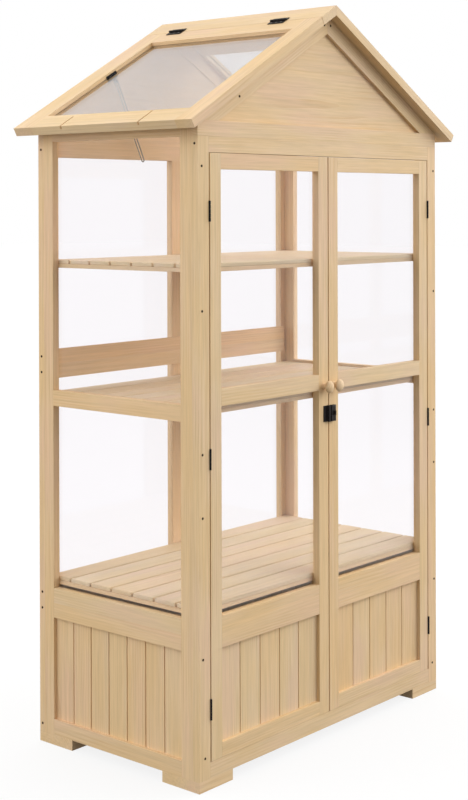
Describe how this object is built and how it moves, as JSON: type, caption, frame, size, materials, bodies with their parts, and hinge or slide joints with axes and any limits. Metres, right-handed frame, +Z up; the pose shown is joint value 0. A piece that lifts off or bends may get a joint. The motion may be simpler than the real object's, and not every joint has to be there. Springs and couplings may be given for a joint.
{
  "type": "wooden mini greenhouse",
  "caption": "Upright wooden greenhouse cabinet with glazed doors, slatted shelves, boarded base panels and a gabled roof whose glazed slope lifts as a lid on a wire stay.",
  "frame": {"origin": "on the ground, under the middle of the roof's outline", "axes": "+Z up, +X to the right along the door front, +Y from the doors to the back"},
  "size_m": [0.882, 0.489, 1.4996],
  "materials": {
    "pine": "planed pale softwood, untreated, with fine straight grain and small knots",
    "clear_sheet": "clear acrylic sheet, flat and glossy",
    "roof_sheet": "acrylic sheet with a faint grey haze",
    "black_steel": "black coated steel, satin",
    "zinc_wire": "dull plated wire"
  },
  "bodies": {
    "cabinet": {"foot_front_left": "pine", "foot_front_right": "pine", "foot_back_left": "pine", "foot_back_right": "pine", "front_post_left": "pine", "front_post_right": "pine", "front_top_rail": "pine", "front_bottom_rail": "pine", "back_frame": "pine", "back_centre_post": "pine", "back_pane_left": "clear_sheet", "back_pane_right": "clear_sheet", "back_panel": "pine", "back_brace_lower": "pine", "back_brace_upper": "pine", "left_side_frame": "pine", "left_pane_upper": "clear_sheet", "left_pane_lower": "clear_sheet", "left_side_panel": "pine", "right_side_frame": "pine", "right_pane_upper": "clear_sheet", "right_pane_lower": "clear_sheet", "right_side_panel": "pine", "shelf_bottom": "pine", "shelf_middle": "pine", "shelf_upper": "pine", "left_door_hinge_top": "black_steel", "left_door_hinge_middle": "black_steel", "left_door_hinge_bottom": "black_steel", "right_door_hinge_top": "black_steel", "right_door_hinge_middle": "black_steel", "right_door_hinge_bottom": "black_steel", "front_gable_frame": "pine", "front_gable_panel": "pine", "back_gable_frame": "pine", "back_gable_panel": "pine", "right_roof_frame": "pine", "right_roof_pane": "roof_sheet", "ridge_board": "pine", "lid_hinge_front_fixed_leaf": "black_steel", "lid_hinge_back_fixed_leaf": "black_steel"},
    "left_door": {"left_door_frame": "pine", "left_door_pane_upper": "clear_sheet", "left_door_pane_lower": "clear_sheet", "left_door_panel": "pine", "left_door_knob": "pine", "latch_keeper": "black_steel"},
    "right_door": {"right_door_frame": "pine", "right_door_pane_upper": "clear_sheet", "right_door_pane_lower": "clear_sheet", "right_door_panel": "pine", "right_door_knob": "pine", "latch_housing": "black_steel"},
    "bolt": {"latch_bolt": "black_steel"},
    "lid": {"lid_frame": "pine", "lid_pane": "roof_sheet", "lid_hinge_front_moving_leaf": "black_steel", "lid_hinge_back_moving_leaf": "black_steel", "stay_bracket": "black_steel"},
    "stay": {"lid_stay": "zinc_wire"}
  },
  "joints": [
    {"name": "left_door_hinge", "type": "hinge", "parent": "cabinet", "child": "left_door", "pos_m": [-0.367, -0.2232, 0.62], "axis": [0, 0, -1], "range_deg": [0, 170]},
    {"name": "right_door_hinge", "type": "hinge", "parent": "cabinet", "child": "right_door", "pos_m": [0.367, -0.2232, 0.62], "axis": [0, 0, 1], "range_deg": [0, 170]},
    {"name": "bolt_slide", "type": "slide", "parent": "right_door", "child": "bolt", "axis": [-1, 0, 0], "range_m": [0, 0.008]},
    {"name": "lid_hinge", "type": "hinge", "parent": "cabinet", "child": "lid", "pos_m": [-0.05181, 0, 1.47345], "axis": [0, 1, 0], "range_deg": [0, 100]},
    {"name": "stay_pivot", "type": "hinge", "parent": "lid", "child": "stay", "pos_m": [-0.20353, 0.1871, 1.35587], "axis": [0, 1, 0], "range_deg": [-75, 75]}
  ]
}
